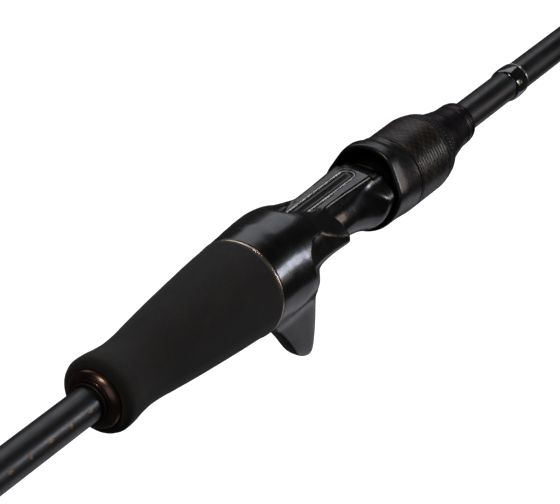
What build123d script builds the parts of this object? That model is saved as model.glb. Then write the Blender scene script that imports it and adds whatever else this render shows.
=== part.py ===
from build123d import *
import os
from math import cos, pi, sin

os.makedirs("parts", exist_ok=True)

# One-piece casting rod with a trigger reel seat, in millimetres.
# X runs along the rod from the butt to the tip, Z is up, towards the reel and
# the line guides, and the trigger hangs down. The origin is the butt's face.

# ---- overall ----
rod_length = 1830.0
handle_length = 250.0  # butt face to the front face of the main grip

# ---- blank: a tapered hollow tube ----
blank_butt_r = 5.4
blank_grip_r = 5.15
blank_fore_r = 4.8
blank_tip_r = 0.95
blank_butt_wall = 1.1
blank_tip_wall = 0.45
grip_station = handle_length - 90.0
fore_station = handle_length + 150.0

# ---- butt cap and rear grip ----
cap_length = 16.0
cap_floor = 3.0
cap_r = 13.0
cap_edge_r = 2.0
rear_grip_end = 92.0
rear_grip_waist_r = 11.0
rear_grip_front_r = 9.6
rear_grip_waist_share = 0.72

# ---- winding checks of the handle ----
check_length = 3.1
check_r = 8.7
check_lip_r = 6.5
check_crown_share = 0.62
check_crown = 0.5
gasket_thickness = 0.8
gasket_proud = 0.4

# ---- main grip ----
main_grip_length = 69.2
main_grip_end_r = 9.6
main_grip_flare_r = 11.5
main_grip_waist_r = 10.4
main_grip_front_r = 15.0
grip_ring_length = 0.9

# ---- reel seat ----
seat_bore_r = 6.2
seat_neck_r = 7.3
barrel_r = 9.2
flare_start = 48.0  # from the seat's rear face
guide_flange_start = 61.0
guide_flange_end = 66.6
barrel_end = 102.0
barrel_lip_r = 8.4
barrel_lip_length = 2.8
deck_top = 10.8
deck_half_width = 5.8
deck_margin = 0.7
deck_ramp_length = 1.8
flange_top = 9.0
pocket_floor = 12.0  # rear end of the reel foot's pocket, from the seat's rear face
pocket_half_width = 5.6
pocket_side = 13.2
pocket_top = 15.15
trigger_half_width = 3.6
trigger_depth = 38.4
arbor_length = 18.0
plate_half_width = 2.7
plate_thickness = 0.8
plate_start = 20.0
plate_end = 59.5

# ---- sliding hood and lock nut ----
hood_start = 65.7
hood_length = 14.6
hood_r = 12.5
hood_wall = 1.4
hood_top = 15.2
hood_half_width = 13.3
hood_corner = (8.2, 12.5)  # half width and height where the arch meets a flat side
hood_side_z = 3.5
hood_flank = (11.3, -5.4)  # a point of the round underside
hood_rim_lean = 0.2  # how far the rim leans towards the tip, for each unit of height
hood_bulkhead = 2.4
hood_fall_length = 4.0
hood_waist_start = 5.0
hood_bend_start = 0.6
hood_bend_drop = 0.7
hood_bend_draw = 0.4
liner_thickness = 0.5
liner_half_width = 5.6
slide_gap = 0.3
nut_length = 23.9
nut_sleeve_length = 15.6
nut_sleeve_thickness = 0.9
nut_flange_length = 0.8
nut_front_r = 10.3
retainer_length = 1.6
retainer_depth = 0.9

# ---- front winding check and handle wrap ----
front_check_length = 18.0
front_check_rear_r = 9.2
front_check_front_r = 6.9
handle_wrap_start = 152.5
handle_wrap_length = 7.0
wrap_thickness = 0.65
wrap_edge = 0.5
trim_length = 0.7
trim_thickness = 0.52

# ---- line guides: distance from the tip, ring outer radius, ring height over the axis, feet ----
guide_table = (
    (1110.0, 6.0, 19.0, 2),
    (925.0, 5.0, 15.5, 2),
    (755.0, 4.2, 12.5, 1),
    (600.0, 3.5, 10.5, 1),
    (460.0, 3.0, 9.0, 1),
    (330.0, 3.0, 8.2, 1),
    (210.0, 3.0, 7.6, 1),
    (100.0, 3.0, 7.0, 1),
)
foot_thickness = 0.7
foot_tip_share = 0.3
foot_arc = 70.0
wire_r = 0.55
band_thickness = 0.6
band_width = 1.6
ring_wall_share = 0.28
ring_proud = 0.4
guide_wrap_thickness = 0.35
guide_lean = 9.0  # how far the ring stands ahead of its foot
leg_angle = pi / 9  # where a leg meets the ring's band, below its middle
root_angle = pi / 7  # where a leg leaves the foot, off the top of the blank
tip_tube_length = 11.0
tip_tube_wall = 0.4
tip_ring_r = 3.0
tip_ring_height = 4.6
tip_wrap_length = 6.0

# ---- derived places ----
seat_x = handle_length
hood_x = seat_x + hood_start
nut_x = hood_x + hood_length
bulkhead_x = nut_x - hood_bulkhead
flange_x = seat_x + guide_flange_end
hood_bore_r = barrel_r + slide_gap
hood_travel = bulkhead_x - flange_x - slide_gap
print(f"hood and nut travel {hood_travel:.2f} mm towards the butt")
nut_end_x = nut_x + nut_length
barrel_end_x = seat_x + barrel_end + barrel_lip_length
front_check_x = barrel_end_x
blank_end_x = rod_length - band_width / 2 - ring_proud - 1.5
blank_stations = (
    (cap_floor, blank_butt_r),
    (grip_station, blank_grip_r),
    (fore_station, blank_fore_r),
    (blank_end_x, blank_tip_r),
)


def blank_radius(x):
    """Outer radius of the blank at a distance from the butt."""
    for (x0, r0), (x1, r1) in zip(blank_stations, blank_stations[1:]):
        if x <= x1:
            return r0 + (r1 - r0) * (x - x0) / (x1 - x0)
    return blank_tip_r


def along_blank(x0, x1):
    """Points on the blank's outer surface between two places, its kinks included."""
    kinks = [(x, r) for x, r in blank_stations if x0 < x < x1]
    return [(x0, blank_radius(x0)), *kinks, (x1, blank_radius(x1))]


def turned(outline):
    """Solid of revolution about the rod's axis, from a closed outline of (x, radius) points."""
    with BuildPart() as piece:
        with BuildSketch(Plane.XZ):
            with BuildLine():
                Polyline(*outline, close=True)
            make_face()
        revolve(axis=Axis.X)
    return piece


def save(name, piece):
    """Labels a finished piece and writes it."""
    piece.part.label = name
    export_step(piece.part, f"parts/{name}.step")


# ================= blank =================

blank_inner = [(x, r - blank_butt_wall) for x, r in blank_stations[:3]]
blank_inner.append((blank_end_x, blank_tip_r - blank_tip_wall))
blank = turned([*blank_stations, *reversed(blank_inner)])
save("blank", blank)

# ================= butt =================

# rubber cup over the end of the blank
with BuildPart() as butt_cap:
    with BuildSketch(Plane.XZ):
        with BuildLine():
            Polyline(
                (cap_floor, 0),
                (0, 0),
                (0, cap_r),
                (cap_length, cap_r),
                *reversed(along_blank(cap_floor, cap_length)),
                close=True,
            )
        make_face()
    revolve(axis=Axis.X)
    fillet(butt_cap.edges().filter_by(GeomType.CIRCLE).group_by(Axis.X)[0], cap_edge_r)
save("butt_cap", butt_cap)

# foam grip, waisted towards its front
with BuildPart() as rear_grip:
    with BuildSketch(Plane.XZ):
        with BuildLine():
            waist_x = cap_length + (rear_grip_end - cap_length) * rear_grip_waist_share
            Spline(
                (cap_length, cap_r),
                (waist_x, rear_grip_waist_r),
                (rear_grip_end, rear_grip_front_r),
                tangents=[(1, 0), (1, -0.25)],
            )
            Polyline(
                (rear_grip_end, rear_grip_front_r),
                *reversed(along_blank(cap_length, rear_grip_end)),
                (cap_length, cap_r),
            )
        make_face()
    revolve(axis=Axis.X)
save("rear_grip", rear_grip)


def winding_check(grip_face_x, direction):
    """Convex metal ring against a grip's end face. Direction is +1 towards the tip."""
    lip_x = grip_face_x + direction * check_length
    bore_near = blank_radius(grip_face_x) + gasket_thickness
    bore_far = blank_radius(lip_x) + gasket_thickness
    with BuildPart() as ring:
        with BuildSketch(Plane.XZ):
            with BuildLine():
                ThreePointArc(
                    (grip_face_x, check_r),
                    (grip_face_x + direction * check_length * check_crown_share, (check_r + check_lip_r) / 2 + check_crown),
                    (lip_x, check_lip_r),
                )
                Polyline(
                    (lip_x, check_lip_r),
                    (lip_x, bore_far),
                    (grip_face_x, bore_near),
                    (grip_face_x, check_r),
                )
            make_face()
        revolve(axis=Axis.X)
    return ring


def check_gasket(grip_face_x, direction):
    """Rubber sleeve between a winding check and the blank."""
    end_x = grip_face_x + direction * (check_length + gasket_proud)
    low, high = sorted((grip_face_x, end_x))
    inner = along_blank(low, high)
    outer = [(x, r + gasket_thickness) for x, r in inner]
    return turned([*inner, *reversed(outer)])


save("rear_grip_check", winding_check(rear_grip_end, 1))
save("rear_grip_gasket", check_gasket(rear_grip_end, 1))

# ================= main grip =================

main_grip_x = seat_x - main_grip_length
ring_x = seat_x - grip_ring_length

with BuildPart() as main_grip:
    with BuildSketch(Plane.XZ):
        with BuildLine():
            shoulder_x = main_grip_x + 2.2
            ThreePointArc(
                (main_grip_x, main_grip_end_r),
                (main_grip_x + 0.65, main_grip_flare_r - 0.6),
                (shoulder_x, main_grip_flare_r),
            )
            Spline(
                (shoulder_x, main_grip_flare_r),
                (main_grip_x + 14.2, main_grip_waist_r),
                (main_grip_x + 25.3, main_grip_waist_r + 1.0),
                (main_grip_x + 48.2, main_grip_front_r - 1.5),
                (ring_x, main_grip_front_r),
                tangents=[(1, -0.05), (1, 0.03)],
            )
            Polyline(
                (ring_x, main_grip_front_r),
                *reversed(along_blank(main_grip_x, ring_x)),
                (main_grip_x, main_grip_end_r),
            )
        make_face()
    revolve(axis=Axis.X)
save("main_grip", main_grip)
save("main_grip_check", winding_check(main_grip_x, -1))
save("main_grip_gasket", check_gasket(main_grip_x, -1))

ring_inner = along_blank(ring_x, seat_x)
grip_front_ring = turned([*ring_inner, (seat_x, main_grip_front_r), (ring_x, main_grip_front_r)])
save("grip_front_ring", grip_front_ring)

# ================= reel seat =================

# the bell's oval sections: place along the seat, half width, top and bottom
bell_sections = (
    (0.0, main_grip_front_r, main_grip_front_r, -main_grip_front_r),
    (9.0, 15.3, 16.0, -15.1),
    (18.0, 15.1, 16.1, -14.0),
    (28.0, 14.4, 13.3, -11.5),
    (40.0, 13.5, 9.5, -8.0),
)
# its front edge seen from the side: over the reel foot, down to the ears and
# back under them to the trigger
ear_edge = (
    (19.2, 18.0),
    (21.7, 15.6),
    (27.5, 13.2),
    (36.0, 9.9),
    (38.0, 3.7),
    (36.2, -1.0),
    (34.0, -4.4),
    (33.4, -9.0),
)
trigger_front_x = 34.3


def seat_point(point):
    """A point of the seat's side view in the rod's own X and Z."""
    return (seat_x + point[0], point[1])


def hood_outline(inset):
    """Rear view of the sliding hood: arch, two flat sides and a round underside."""
    half = hood_half_width - inset
    corner_y = hood_corner[0] - inset
    corner_z = hood_corner[1] - inset
    ThreePointArc((corner_y, corner_z), (0, hood_top - inset), (-corner_y, corner_z))
    Line((-corner_y, corner_z), (-half, hood_side_z))
    Spline(
        (-half, hood_side_z),
        (inset - hood_flank[0], hood_flank[1]),
        (0, inset - hood_r),
        (hood_flank[0] - inset, hood_flank[1]),
        (half, hood_side_z),
        tangents=[(-0.1, -1), (-0.1, 1)],
    )
    Line((half, hood_side_z), (corner_y, corner_z))


# flared flange that fits the hood's inside and keeps it from turning
flange_inset = hood_wall + slide_gap
with BuildPart() as guide_flange:
    with BuildSketch(Plane.XZ):
        with BuildLine():
            Spline(
                seat_point((flare_start, seat_neck_r)),
                seat_point((flare_start + 8.5, seat_neck_r + 1.6)),
                seat_point((guide_flange_start, hood_half_width)),
                tangents=[(1, 0), (0.5, 1)],
            )
            Polyline(
                seat_point((guide_flange_start, hood_half_width)),
                (flange_x, hood_half_width),
                (flange_x, 0),
                seat_point((flare_start, 0)),
                seat_point((flare_start, seat_neck_r)),
            )
        make_face()
    revolve(axis=Axis.X)
    with BuildSketch(Plane.YZ.offset(seat_x + flare_start)):
        with BuildLine():
            hood_outline(flange_inset)
        make_face()
        with Locations((0, flange_top)):
            Rectangle(
                2 * hood_half_width,
                hood_top,
                align=(Align.CENTER, Align.MIN),
                mode=Mode.SUBTRACT,
            )
    extrude(amount=guide_flange_end - flare_start, mode=Mode.INTERSECT)

with BuildPart() as seat_body:
    # bell behind and around the reel foot
    for place, half_width, top, bottom in bell_sections:
        with BuildSketch(Plane.YZ.offset(seat_x + place)):
            with BuildLine():
                middle = (top + bottom) / 2
                half_height = (top - bottom) / 2
                Spline(
                    *[
                        (half_width * cos(a * pi / 6), middle + half_height * sin(a * pi / 6))
                        for a in range(12)
                    ],
                    periodic=True,
                )
            make_face()
    loft()
    with BuildSketch(Plane.XZ):
        with BuildLine():
            Spline(*[seat_point(p) for p in ear_edge])
            Polyline(
                seat_point(ear_edge[-1]),
                seat_point((ear_edge[-1][0], -trigger_depth)),
                seat_point((guide_flange_start, -trigger_depth)),
                seat_point((guide_flange_start, trigger_depth)),
                seat_point((ear_edge[0][0], trigger_depth)),
                seat_point(ear_edge[0]),
            )
        make_face()
    extrude(amount=2 * hood_half_width, both=True, mode=Mode.SUBTRACT)

    # trigger, thicker at its root
    with BuildSketch(Plane.XZ):
        with BuildLine():
            Spline(
                seat_point((trigger_front_x - 2.5, -4.0)),
                seat_point((trigger_front_x, -20.0)),
                seat_point((trigger_front_x + 0.3, 4.0 - trigger_depth)),
                seat_point((trigger_front_x - 2.6, -trigger_depth)),
                seat_point((trigger_front_x - 6.5, 3.2 - trigger_depth)),
                seat_point((22.0, -28.6)),
                seat_point((14.0, -20.4)),
                seat_point((4.0, -14.0)),
            )
            Polyline(
                seat_point((4.0, -14.0)),
                seat_point((4.0, -seat_neck_r)),
                seat_point((trigger_front_x - 2.5, -4.0)),
            )
        make_face()
    extrude(amount=trigger_half_width, both=True)
    # deck that the reel foot rests on, with a ramp down to the guide flange's flat top
    ramp_x = seat_x + plate_end + deck_margin
    with BuildSketch(Plane.XZ):
        with BuildLine():
            Polyline(
                seat_point((pocket_floor - 4.0, 0)),
                seat_point((pocket_floor - 4.0, deck_top)),
                (ramp_x, deck_top),
                (ramp_x + deck_ramp_length, flange_top),
                (flange_x, flange_top),
                (flange_x, 0),
                close=True,
            )
        make_face()
    extrude(amount=deck_half_width, both=True)

    # neck, then the barrel that the lock nut runs on
    with BuildSketch(Plane.XZ):
        with BuildLine():
            Polyline(
                seat_point((24.0, 0)),
                seat_point((24.0, seat_neck_r)),
                (flange_x - 1.0, seat_neck_r),
                (flange_x - 1.0, barrel_r),
                seat_point((barrel_end, barrel_r)),
                seat_point((barrel_end, barrel_lip_r)),
                (barrel_end_x, barrel_lip_r),
                (barrel_end_x, 0),
                close=True,
            )
        make_face()
    revolve(axis=Axis.X)
    add(guide_flange.part)

    # pocket under the fixed hood, open towards the tip
    with BuildSketch(Plane.YZ.offset(seat_x + pocket_floor)):
        with BuildLine():
            Polyline(
                (pocket_half_width, deck_top),
                (-pocket_half_width, deck_top),
                (-pocket_half_width, pocket_side),
            )
            ThreePointArc(
                (-pocket_half_width, pocket_side),
                (0, pocket_top),
                (pocket_half_width, pocket_side),
            )
            Line((pocket_half_width, pocket_side), (pocket_half_width, deck_top))
        make_face()
    extrude(amount=guide_flange_start - pocket_floor, mode=Mode.SUBTRACT)

    # groove for the inlaid plate
    with BuildSketch(Plane.XY.offset(deck_top)):
        with Locations((seat_x + (plate_start + plate_end) / 2, 0)):
            SlotOverall(plate_end - plate_start, 2 * plate_half_width)
    extrude(amount=-plate_thickness, mode=Mode.SUBTRACT)

    # bore for the blank and its arbors
    with BuildSketch(Plane.YZ.offset(seat_x)):
        Circle(seat_bore_r)
    extrude(amount=barrel_end_x - seat_x, mode=Mode.SUBTRACT)
save("seat_body", seat_body)

with BuildPart() as deck_plate:
    with BuildSketch(Plane.XY.offset(deck_top)):
        with Locations((seat_x + (plate_start + plate_end) / 2, 0)):
            SlotOverall(plate_end - plate_start, 2 * plate_half_width)
    extrude(amount=-plate_thickness)
save("deck_plate", deck_plate)


def seat_arbor(x0, x1):
    """Bushing that fills the gap between the seat's bore and the blank."""
    return turned([*along_blank(x0, x1), (x1, seat_bore_r), (x0, seat_bore_r)])


save("rear_arbor", seat_arbor(seat_x, seat_x + arbor_length))
save("front_arbor", seat_arbor(barrel_end_x - arbor_length, barrel_end_x))

# ================= sliding hood =================

liner_inset = 0.8
liner_x = hood_x + hood_rim_lean * hood_top + liner_inset
liner_length = bulkhead_x - liner_x - liner_inset
rim_low_x = hood_x - hood_rim_lean * (hood_r + 1)
# the hood's top and sides start to close in towards the nut, and bend most just behind it
hood_fall_x = bulkhead_x - hood_fall_length
hood_waist_x = hood_x + hood_waist_start
hood_bend_x = bulkhead_x + hood_bend_start


def liner_outline():
    """Curved strip let into the roof of the hood's passage."""
    roof = hood_top - hood_wall
    fall = (hood_top - hood_corner[1]) * (liner_half_width / (hood_corner[0] - hood_wall)) ** 2
    edge = (liner_half_width, roof - fall)
    ThreePointArc((-edge[0], edge[1]), (0, roof), edge)
    Line(edge, (edge[0], edge[1] + liner_thickness))
    ThreePointArc(
        (edge[0], edge[1] + liner_thickness),
        (0, roof + liner_thickness),
        (-edge[0], edge[1] + liner_thickness),
    )
    Line((-edge[0], edge[1] + liner_thickness), (-edge[0], edge[1]))


with BuildPart() as front_hood:
    with BuildSketch(Plane.YZ.offset(rim_low_x)):
        with BuildLine():
            hood_outline(0)
        make_face()
    extrude(amount=nut_x - rim_low_x)
    # the top and the sides come down to the nut's radius
    with BuildSketch(Plane.XZ):
        with BuildLine():
            Spline(
                (hood_fall_x, hood_top + 0.2),
                (hood_bend_x, hood_top - hood_bend_drop),
                (nut_x, hood_r),
                tangents=[(1, 0), (0.2, -1)],
            )
            Polyline(
                (nut_x, hood_r),
                (nut_x + 1, hood_r),
                (nut_x + 1, hood_top + 1),
                (hood_fall_x, hood_top + 1),
                (hood_fall_x, hood_top + 0.2),
            )
        make_face()
    extrude(amount=2 * hood_r, both=True, mode=Mode.SUBTRACT)
    for side in (1, -1):
        with BuildSketch(Plane.XY.offset(-hood_r - 1)):
            with BuildLine():
                Spline(
                    (hood_waist_x, side * (hood_half_width + 0.1)),
                    (hood_bend_x, side * (hood_half_width - hood_bend_draw)),
                    (nut_x, side * hood_r),
                )
                Polyline(
                    (nut_x, side * hood_r),
                    (nut_x, side * (hood_half_width + 1)),
                    (hood_waist_x, side * (hood_half_width + 1)),
                    (hood_waist_x, side * (hood_half_width + 0.1)),
                )
            make_face()
        extrude(amount=hood_top + hood_r + 2, mode=Mode.SUBTRACT)
    # passage for the guide flange and the reel foot, up to the bulkhead
    with BuildSketch(Plane.YZ.offset(rim_low_x)):
        with BuildLine():
            hood_outline(hood_wall)
        make_face()
    extrude(amount=bulkhead_x - rim_low_x, mode=Mode.SUBTRACT)
    # the rim leans, its top towards the tip
    with BuildSketch(Plane.XZ):
        with BuildLine():
            Polyline(
                (rim_low_x - 1, -hood_r - 1),
                (rim_low_x, -hood_r - 1),
                (hood_x + hood_rim_lean * (hood_top + 1), hood_top + 1),
                (rim_low_x - 1, hood_top + 1),
                close=True,
            )
        make_face()
    extrude(amount=2 * hood_r, both=True, mode=Mode.SUBTRACT)
    # recess of the roof liner
    with BuildSketch(Plane.YZ.offset(liner_x)):
        with BuildLine():
            liner_outline()
        make_face()
    extrude(amount=liner_length, mode=Mode.SUBTRACT)
    # running bore over the barrel and groove for the retainer ring
    with BuildSketch(Plane.YZ.offset(rim_low_x)):
        Circle(hood_bore_r)
    extrude(amount=bulkhead_x + hood_bulkhead - rim_low_x, mode=Mode.SUBTRACT)
    with BuildSketch(Plane.YZ.offset(nut_x - retainer_length)):
        Circle(hood_bore_r + retainer_depth)
    extrude(amount=retainer_length, mode=Mode.SUBTRACT)
save("front_hood", front_hood)

with BuildPart() as front_hood_liner:
    with BuildSketch(Plane.YZ.offset(liner_x)):
        with BuildLine():
            liner_outline()
        make_face()
    extrude(amount=liner_length)
save("front_hood_liner", front_hood_liner)

# snap ring that holds the hood to the nut
hood_retainer = turned(
    [
        (nut_x - retainer_length, hood_bore_r),
        (nut_x, hood_bore_r),
        (nut_x, hood_bore_r + retainer_depth),
        (nut_x - retainer_length, hood_bore_r + retainer_depth),
    ]
)
save("hood_retainer", hood_retainer)

# ================= lock nut =================

nut_core_r = hood_r - nut_sleeve_thickness
sleeve_x = nut_x + slide_gap + nut_flange_length
sleeve_end_x = sleeve_x + nut_sleeve_length
with BuildPart() as lock_nut:
    with BuildSketch(Plane.XZ):
        with BuildLine():
            Polyline(
                (nut_end_x, nut_front_r),
                (nut_end_x, hood_bore_r),
                (nut_x + slide_gap, hood_bore_r),
                (nut_x + slide_gap, hood_r - 0.1),
                (sleeve_x, hood_r - 0.1),
                (sleeve_x, nut_core_r),
                (sleeve_end_x, nut_core_r),
                (sleeve_end_x, hood_r),
            )
            Spline(
                (sleeve_end_x, hood_r),
                (nut_end_x - 4.8, hood_r - 0.5),
                (nut_end_x - 1.8, hood_r - 1.2),
                (nut_end_x, nut_front_r),
                tangents=[(1, 0), (0.5, -1)],
            )
        make_face()
    revolve(axis=Axis.X)
save("lock_nut", lock_nut)

nut_sleeve = turned(
    [
        (sleeve_x, nut_core_r),
        (sleeve_end_x, nut_core_r),
        (sleeve_end_x, hood_r),
        (sleeve_x, hood_r),
    ]
)
save("nut_sleeve", nut_sleeve)

# ================= front winding check and handle wrap =================

front_check_end_x = front_check_x + front_check_length
with BuildPart() as front_check:
    with BuildSketch(Plane.XZ):
        with BuildLine():
            bead_x = front_check_end_x - 4.2
            Spline(
                (front_check_x + 0.6, front_check_rear_r),
                (front_check_x + 4.4, front_check_rear_r - 0.6),
                (bead_x - 4.0, front_check_front_r + 0.5),
                (bead_x, front_check_front_r),
            )
            Polyline(
                (bead_x, front_check_front_r),
                (front_check_end_x - 1.0, front_check_front_r),
                (front_check_end_x, front_check_front_r - 0.7),
                (front_check_end_x, blank_radius(front_check_end_x) + gasket_thickness),
                (front_check_x, blank_radius(front_check_x) + gasket_thickness),
                (front_check_x, front_check_rear_r - 0.6),
                (front_check_x + 0.6, front_check_rear_r),
            )
        make_face()
    revolve(axis=Axis.X)
save("front_check", front_check)

gasket_inner = along_blank(front_check_x, front_check_end_x + gasket_proud)
gasket_outer = [(x, r + gasket_thickness) for x, r in gasket_inner]
front_check_gasket = turned([*gasket_inner, *reversed(gasket_outer)])
save("front_check_gasket", front_check_gasket)


def thread_wrap(x0, x1, thickness, edge):
    """Bound thread under epoxy: a band on the blank with sloped ends."""
    inner = along_blank(x0, x1)
    outer = [(x0 + edge, blank_radius(x0 + edge) + thickness), (x1 - edge, blank_radius(x1 - edge) + thickness)]
    return turned([*inner, *reversed(outer)])


wrap_x = seat_x + handle_wrap_start
wrap_end_x = wrap_x + handle_wrap_length
handle_wrap = thread_wrap(wrap_x, wrap_end_x, wrap_thickness, 0.5)
save("handle_wrap", handle_wrap)
handle_wrap_trim = thread_wrap(wrap_end_x, wrap_end_x + trim_length, trim_thickness, 0.1)
save("handle_wrap_trim", handle_wrap_trim)

# ================= line guides =================


def guide_ring(ring_x, height, ring_r):
    """Ceramic ring with rounded edges, its hole along the rod."""
    wall = ring_r * ring_wall_share
    half = band_width / 2 + ring_proud
    with BuildPart() as ring:
        with BuildSketch(Plane.XZ):
            with Locations((ring_x, height + ring_r - wall / 2)):
                RectangleRounded(2 * half, wall, wall * 0.45)
        revolve(axis=Axis((0, 0, height), (1, 0, 0)))
    return ring


def foot_outline(far, near, extra):
    """Side outline of a guide's foot lying on the blank, thin at its far end."""
    r_far = blank_radius(far)
    r_near = blank_radius(near)
    return [
        (far, r_far),
        (near, r_near),
        (near, r_near + foot_thickness + extra),
        (far, r_far + foot_thickness * foot_tip_share + extra),
    ]


def over_blank(outline, mode=Mode.ADD):
    """Turns a foot's outline through its arc over the top of the blank."""
    with BuildSketch(Plane.XZ.rotated((-foot_arc / 2, 0, 0))) as side:
        with BuildLine():
            Polyline(*outline, close=True)
        make_face()
    revolve(side.sketch, axis=Axis.X, revolution_arc=foot_arc, mode=mode)


def wire(start, end):
    """Straight round leg between two points."""
    run = Vector(*end) - Vector(*start)
    with BuildSketch(Plane(origin=start, z_dir=run)) as section:
        Circle(wire_r)
    extrude(section.sketch, amount=run.length)


def ring_band(ring_x, height, ring_r):
    """Metal band round a guide ring."""
    with BuildSketch(Plane.YZ.offset(ring_x - band_width / 2)) as band:
        with Locations((0, height)):
            Circle(ring_r + band_thickness)
            Circle(ring_r, mode=Mode.SUBTRACT)
    extrude(band.sketch, amount=band_width)


def band_side(ring_x, height, ring_r, side):
    """Point low on the side of a ring's band, where a leg joins it."""
    reach = ring_r + band_thickness + 0.05
    return (ring_x, side * reach * cos(leg_angle), height - reach * sin(leg_angle))


def guide_frame(ring_x, height, ring_r, ends, foot_length):
    """Band, wire legs and one foot for each end: -1 towards the butt, +1 towards the tip."""
    with BuildPart() as frame:
        ring_band(ring_x, height, ring_r)
        for end in ends:
            near = ring_x + end * guide_lean
            over_blank(foot_outline(near + end * foot_length, near, 0))
            root_x = near + end * 0.8
            root_r = blank_radius(root_x) + wire_r + 0.05
            for side in (1, -1):
                root = (root_x, side * root_r * sin(root_angle), root_r * cos(root_angle))
                wire(root, band_side(ring_x, height, ring_r, side))
    return frame


def guide_wraps(ring_x, ends, foot_length):
    """Thread and epoxy that bind each foot to the blank."""
    with BuildPart() as wraps:
        for end in ends:
            near = ring_x + end * guide_lean
            inner_end = near + end * 2.0
            outer_end = near + end * (foot_length + 2.0)
            low, high = sorted((inner_end, outer_end))
            inner = along_blank(low, high)
            crown = foot_thickness + guide_wrap_thickness
            outer = [
                (low + 0.8, blank_radius(low) + crown),
                (high - 0.8, blank_radius(high) + crown),
            ]
            with BuildSketch(Plane.XZ):
                with BuildLine():
                    Polyline(*inner, *reversed(outer), close=True)
                make_face()
            revolve(axis=Axis.X)
            over_blank(foot_outline(near + end * foot_length, near, 0), mode=Mode.SUBTRACT)
    return wraps


for number, (from_tip, ring_r, height, feet) in enumerate(guide_table, 1):
    guide_x = rod_length - from_tip
    ends = (-1, 1) if feet == 2 else (-1,)
    foot_length = ring_r * (3.2 if feet == 2 else 4.0)
    save(f"guide_{number}_frame", guide_frame(guide_x, height, ring_r, ends, foot_length))
    save(f"guide_{number}_ring", guide_ring(guide_x, height, ring_r))
    save(f"guide_{number}_wraps", guide_wraps(guide_x, ends, foot_length))

# ================= tip-top =================

tip_ring_x = rod_length - band_width / 2 - ring_proud
tip_tube_x = blank_end_x - tip_tube_length
tip_tube_r = blank_radius(tip_tube_x) + tip_tube_wall
with BuildPart() as tip_top_frame:
    with BuildSketch(Plane.XZ):
        with BuildLine():
            Polyline(
                *along_blank(tip_tube_x, blank_end_x),
                (blank_end_x, 0),
                (blank_end_x + tip_tube_wall, 0),
                (blank_end_x + tip_tube_wall, tip_tube_r),
                (tip_tube_x, tip_tube_r),
                close=True,
            )
        make_face()
    revolve(axis=Axis.X)
    ring_band(tip_ring_x, tip_ring_height, tip_ring_r)
    for side in (1, -1):
        root = (tip_tube_x + 2.5, side * tip_tube_r * 0.95, 0.5)
        wire(root, band_side(tip_ring_x, tip_ring_height, tip_ring_r, side))
save("tip_top_frame", tip_top_frame)
save("tip_top_ring", guide_ring(tip_ring_x, tip_ring_height, tip_ring_r))
tip_wrap = thread_wrap(tip_tube_x - tip_wrap_length, tip_tube_x, tip_tube_wall + 0.1, 0.6)
save("tip_top_wrap", tip_wrap)
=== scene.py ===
import math

import bpy
import numpy as np
from mathutils import Matrix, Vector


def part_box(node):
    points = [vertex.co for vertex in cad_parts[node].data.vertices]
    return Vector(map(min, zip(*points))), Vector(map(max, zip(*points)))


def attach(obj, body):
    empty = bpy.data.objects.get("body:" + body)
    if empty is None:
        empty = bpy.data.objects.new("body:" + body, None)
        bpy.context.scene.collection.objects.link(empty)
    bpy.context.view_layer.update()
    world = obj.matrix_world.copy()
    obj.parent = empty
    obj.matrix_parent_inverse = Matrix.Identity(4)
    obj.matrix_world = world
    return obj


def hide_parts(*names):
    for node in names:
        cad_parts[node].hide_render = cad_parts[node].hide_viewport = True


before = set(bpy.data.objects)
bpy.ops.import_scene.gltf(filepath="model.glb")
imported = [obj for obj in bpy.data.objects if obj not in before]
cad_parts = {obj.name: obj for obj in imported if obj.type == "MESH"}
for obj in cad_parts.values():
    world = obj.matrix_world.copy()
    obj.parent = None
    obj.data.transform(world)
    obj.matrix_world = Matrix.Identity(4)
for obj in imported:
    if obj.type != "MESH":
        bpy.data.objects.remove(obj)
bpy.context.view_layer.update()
mm = 0.001

# Places along the rod come from the frame, in millimetres from the butt.


def low(node):
    return np.array(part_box(node)[0]) / mm


def high(node):
    return np.array(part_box(node)[1]) / mm


ringX = high("grip_front_ring")[0]  # the seat's rear face
hoodBody, nutBody, rodBody = "front_hood", "lock_nut", "rod"


# ---------- helpers for shapes ----------


# Cubic Hermite curve through the knots that never overshoots them, flat outside.
def smoothCurve(knots, x):
    xs = np.array([k[0] for k in knots], float)
    ys = np.array([k[1] for k in knots], float)
    rises = np.diff(ys) / np.diff(xs)
    both = rises[:-1] * rises[1:]
    shared = 2 * both / np.where(rises[:-1] + rises[1:] == 0, 1, rises[:-1] + rises[1:])
    slopes = np.concatenate([rises[:1], np.where(both > 0, shared, 0), rises[-1:]])
    x = np.clip(x, xs[0], xs[-1])
    i = np.clip(np.searchsorted(xs, x, side="right") - 1, 0, len(xs) - 2)
    step = xs[i + 1] - xs[i]
    t = (x - xs[i]) / step
    a = ys[i] * (1 + 2 * t) * (1 - t) ** 2 + ys[i + 1] * t * t * (3 - 2 * t)
    return a + step * (slopes[i] * t * (1 - t) ** 2 + slopes[i + 1] * t * t * (t - 1))


# Rounded minimum and maximum: the smaller or larger of two fields, with a fillet of about k.
def smoothMin(a, b, k):
    h = np.maximum(k - np.abs(a - b), 0) / k
    return np.minimum(a, b) - h * h * k / 4


def smoothMax(a, b, k):
    return -smoothMin(-a, -b, k)


# 0 below 0, 1 above 1, and an easy slope between them.
def ease(t):
    t = np.clip(t, 0, 1)
    return t * t * (3 - 2 * t)


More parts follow.
